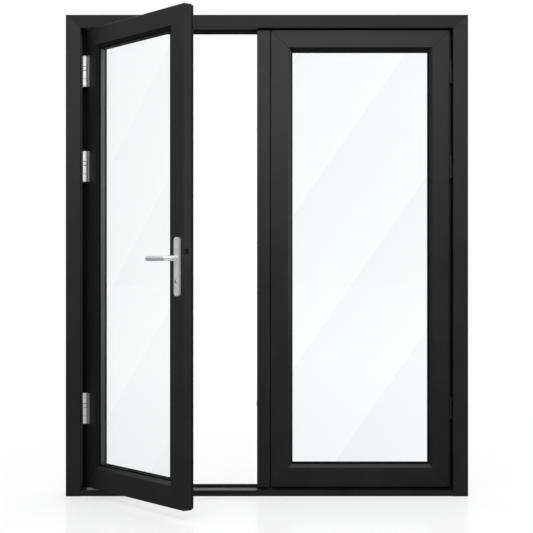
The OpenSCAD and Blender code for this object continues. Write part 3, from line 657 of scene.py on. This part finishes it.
def innerLeverPiece(look):  # a low lever that climbs away from its plate
    x, z = leafPlace["lockX"], leafPlace["leverZ"]
    back = leafPlace["back"]
    root = (x, back + look["inPlate"], z)
    neck = disc("innerLeverNeck", look["neck"], look["neckCorners"], root, (-quarter, 0, 0))
    for step, spread in look["neckSteps"]:
        drawOut((0, step, 0), (spread, 1, spread), (x, back, z))
    done()
    r = look["grip"]
    run = look["length"] - r
    climb = math.atan2(look["tip"] - look["root"], run)
    noseTurns = [math.radians(turn) for turn in look["noseTurns"]]
    tipTurns = [math.radians(turn) for turn in look["tipTurns"]]
    marks = [(math.cos(turn), math.sin(turn)) for turn in noseTurns]  # along and across, in bar radii
    marks += [(-run / r * part, 1.0) for part in look["runSteps"]]
    marks += [(-run / r - math.sin(turn), math.cos(turn)) for turn in tipTurns]
    at, wide = r * look["past"], look["nose"]
    bar = disc("innerLeverBar", r * wide, look["barCorners"], (at, 0, 0), (0, -quarter, 0))
    for along, across in marks:
        drawOut((along * r - at, 0, 0), (1, across / wide, across / wide), (0, 0, 0))
        at, wide = along * r, across
    done()
    foot = Matrix.Translation(Vector((x - look["behind"], back + look["root"], z)))
    bar.data.transform(foot @ Matrix.Rotation(-climb, 4, "Z"))
    for part in (neck, bar):
        faceOut(part)
    lever = joined([neck, bar], "innerLever")
    smoothed(lever)
    openLeaf(lever)
    return lever


finished(innerLeverPiece(innerLever), leverSilver, "silver_hardware", "lever", "lever_inner")
print("levers made")


# screws

screwHead = {
    "radius": 0.0038, "height": 0.0009, "socket": 0.0018, "deep": 0.0011, "corners": 24,
    "steps": ((0.40, 1.0), (0.35, 0.95), (0.25, 0.85)),  # part of the height, and how much narrower it gets
    "points": (25, 50), "pointsIn": 0.74, "ringTo": 1.05, "wellTo": 0.3, "level": 0.000001,
}


def screwPiece(look):  # a low head with a six-point socket, facing -Y at the origin
    head = disc("screwHead", look["radius"], look["corners"], turn=(quarter, 0, 0))
    width = look["radius"]
    for part, narrow in look["steps"]:
        drawOut((0, -look["height"] * part, 0), (narrow, 1, narrow), (0, 0, 0))
        width = width * narrow
    inner = look["socket"] / width
    drawOut((0, 0, 0), (inner, 1, inner), (0, 0, 0))
    done()
    front = min(corner.co.y for corner in head.data.vertices)

    def within(spot, reach):  # on the front of the head, within so many socket radii
        return spot.y < front + look["level"] and math.hypot(spot.x, spot.z) < look["socket"] * reach

    def betweenPoints(spot):  # every other pair of the inner ring
        sector = math.degrees(math.atan2(spot.z, spot.x)) % 60
        return within(spot, look["ringTo"]) and look["points"][0] < sector < look["points"][1]

    pickCorners(head, betweenPoints)
    bpy.ops.transform.resize(value=(look["pointsIn"], 1, look["pointsIn"]), center_override=(0, 0, 0))
    done()
    pickFaces(head, lambda middle, out: within(middle, look["wellTo"]))
    drawOut((0, look["deep"], 0))
    done()
    faceOut(head)
    smoothed(head, cleaning["edge"])
    return head


masterScrew = screwPiece(screwHead)


def screwAt(name, place, turn=0.0, size=1.0, roll=0.0):  # a copy at its place, turned to face another way
    screw = twin(masterScrew, name)
    spot = Matrix.Translation(Vector(place)) @ Matrix.Rotation(turn, 4, "Z")
    screw.data.transform(spot @ Matrix.Rotation(roll, 4, "Y") @ Matrix.Scale(size, 4))
    return screw


hingeFit = {"x": -0.7785, "y": -0.0228, "rows": (-0.0505, 0.0, 0.0505), "size": 0.8, "rolls": (0.5, 0.8)}
for k, height in enumerate(leafPlace["hingeHeights"]):
    for m, row in enumerate(hingeFit["rows"]):
        place = (hingeFit["x"], hingeFit["y"], height + row)
        roll = hingeFit["rolls"][0] * k + hingeFit["rolls"][1] * m
        screw = screwAt(f"hingeScrew{k}{m}", place, size=hingeFit["size"], roll=roll)
        openLeaf(screw)
        finished(screw, finishes["steel"], "steel", "left_leaf")

plateFit = {"y": 0.002, "z": 0.995, "reach": 0.112, "postEdge": -0.0435, "proud": 0.0003, "rolls": (0.4, 0.9)}
for k, side in enumerate((-1, 1)):
    y, z = plateFit["y"], plateFit["z"] + side * plateFit["reach"]
    screw = screwAt(f"faceplateScrew{k}", (leafPlace["edge"] - plateFit["proud"], y, z),
                    turn=quarter, roll=plateFit["rolls"][0] * k)
    openLeaf(screw)
    finished(screw, finishes["black_steel"], "black_steel", "left_leaf")
    screw = screwAt(f"strikeScrew{k}", (plateFit["postEdge"] + plateFit["proud"], y, z),
                    turn=-quarter, roll=plateFit["rolls"][1] * k)
    finished(screw, finishes["black_steel"], "black_steel", "right_leaf")
bpy.data.objects.remove(masterScrew)
print("screws set")


# stage, light and camera

floorLook = {
    "size": 160, "middle": (0, -1.5, 0), "reach": 10.5, "near": (0.31, 0.312, 0.315, 1),
    "far": (0.40, 0.40, 0.40, 1), "glow": 0.585, "polish": 0.07, "rough": 0.16,
}


def makePaper(name, look):  # pale paper that lights itself a little, so it runs on into the white behind
    paper, start, place = newFinish(name)
    away = place.place("ShaderNodeVectorMath", {"operation": "DISTANCE"}, {0: place, 1: look["middle"]}, 1)
    # painted shade: the paper is darker near the middle, where the lamps light it most, so it reads evenly
    # bright
    tone = away.between(0.0, look["reach"]).blend(look["near"], look["far"])
    cast = start.place("ShaderNodeBsdfDiffuse", {}, {"Color": tone})
    glow = start.place("ShaderNodeEmission", {}, {"Color": (1, 1, 1, 1), "Strength": look["glow"]})
    shown = start.place("ShaderNodeAddShader", {}, {0: cast, 1: glow})
    polish = start.place("ShaderNodeBsdfAnisotropic", {}, {"Color": (1, 1, 1, 1), "Roughness": look["rough"]})
    output(start, start.place("ShaderNodeMixShader", {}, {0: look["polish"], 1: shown, 2: polish}))
    return paper


bpy.ops.object.select_all(action="DESELECT")
bpy.ops.mesh.primitive_plane_add(size=floorLook["size"], location=(0, 0, 0))
floor = added("stageFloor")
floor.data.materials.append(makePaper("palePaper", floorLook))
floor.visible_glossy = False

skyLook = {  # how much each part of the studio gives or takes, and over which stretch of that way it comes in
    "front": 0.29, "up": (1.0, -0.15, 0.85), "back": (0.6, 0.5, 0.95), "below": (0.55, 0.0, 0.35),
    "left": (0.3, 0.3, 0.95), "floor": (0.85, 0.45, 0.9), "seen": 1.02,
}


def makeSky(look):  # a bright studio behind, dimmer towards the front and below; the camera sees plain white
    world = bpy.data.worlds.new("studio")
    bpy.context.scene.world = world
    world.use_nodes = True
    world.node_tree.nodes.clear()
    start = Wire(world.node_tree)
    across, along, up = start.place("ShaderNodeTexCoord", out=0).axes()

    def share(part, way):
        amount, low, high = look[part]
        return amount * way.between(low, high)

    light = look["front"] + share("up", up) + share("back", along)
    light = light * (1 - share("below", 0 - up)) * (1 - share("left", 0 - across)) + share("floor", 0 - up)
    seen = start.place("ShaderNodeLightPath", {}, {}, 0)
    strength = seen * (look["seen"] - light) + light
    back = start.place("ShaderNodeBackground", {}, {"Color": (1, 1, 1, 1), "Strength": strength})
    start.place("ShaderNodeOutputWorld", {}, {"Surface": back})


makeSky(skyLook)

lamps = {
    "frontSoftbox": {"at": (0.0, -5.5, 2.6), "aim": (0.0, 0.0, 1.4), "size": (3.2, 0.6), "power": 40},
    "topSoftbox": {"at": (0.3, -3.0, 3.9), "aim": (0.0, 0.0, 1.5), "size": (3.0, 1.4), "power": 30},
    "leftSoftbox": {"at": (-4.6, -3.4, 1.9), "aim": (-0.5, -0.3, 1.0), "size": (2.0, 2.0), "power": 45},
    "rightStrip": {"at": (4.0, -0.75, 1.7), "aim": (0.1, 0.0, 1.3), "size": (0.5, 2.0), "power": 20},
    "rightSoftbox": {"at": (3.6, -2.6, 1.7), "aim": (0.0, 0.0, 1.1), "size": (1.2, 2.4), "power": 3},
}
for name, look in lamps.items():
    lamp = bpy.data.lights.new(name, "AREA")
    lamp.shape = "RECTANGLE"
    lamp.size, lamp.size_y = look["size"]
    lamp.energy = look["power"]
    holder = bpy.data.objects.new(name, lamp)
    bpy.context.scene.collection.objects.link(holder)
    spot, aim = Vector(look["at"]), Vector(look["aim"])
    turn = (aim - spot).to_track_quat("-Z", "Y").to_matrix().to_4x4()
    holder.matrix_world = Matrix.Translation(spot) @ turn

view = {"at": (0.0, -5.872, 0.982), "lens": 90.36, "film": 36, "shift": (-0.0009, 0.0087)}
camera = bpy.data.cameras.new("viewpoint")
camera.lens = view["lens"]
camera.sensor_width = view["film"]
camera.shift_x, camera.shift_y = view["shift"]
holder = bpy.data.objects.new("viewpoint", camera)
holder.location = view["at"]
holder.rotation_euler = (quarter, 0, 0)
bpy.context.scene.collection.objects.link(holder)
bpy.context.scene.camera = holder
bpy.context.scene.view_settings.view_transform = "Standard"
print("stage, light and camera set")
